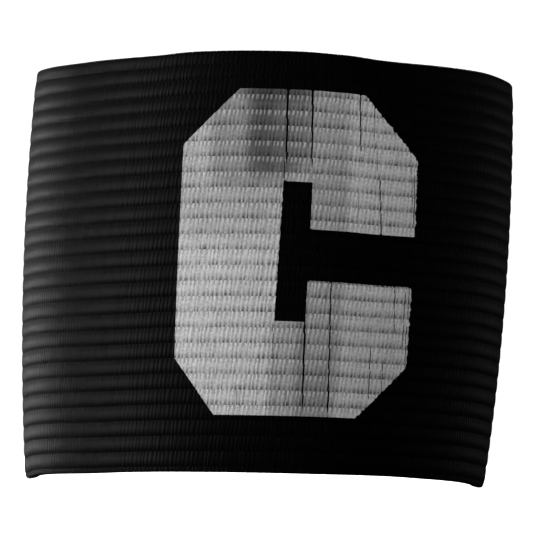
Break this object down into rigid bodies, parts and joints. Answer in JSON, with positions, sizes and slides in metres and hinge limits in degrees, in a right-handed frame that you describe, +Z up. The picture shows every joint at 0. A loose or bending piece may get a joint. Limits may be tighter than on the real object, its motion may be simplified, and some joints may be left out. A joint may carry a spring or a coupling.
{
  "type": "captain armband",
  "caption": "Short loop of black ribbed elastic tape with a lapped back seam and a printed block letter C, worn round the upper arm to mark a team captain.",
  "frame": {"origin": "centre of the armband's bounding box at its lower rim, on the surface that it stands on", "axes": "+Z up along the arm, -Y out through the front with the letter, +X to the right of someone who reads the letter"},
  "size_m": [0.0926, 0.0848, 0.0793],
  "materials": {
    "black_elastic": "matte ribbed weave",
    "white_print": "matte screen print, cracked where it stretched"
  },
  "bodies": {
    "root": {"elastic_band": "black_elastic", "captain_letter": "white_print"}
  },
  "joints": []
}
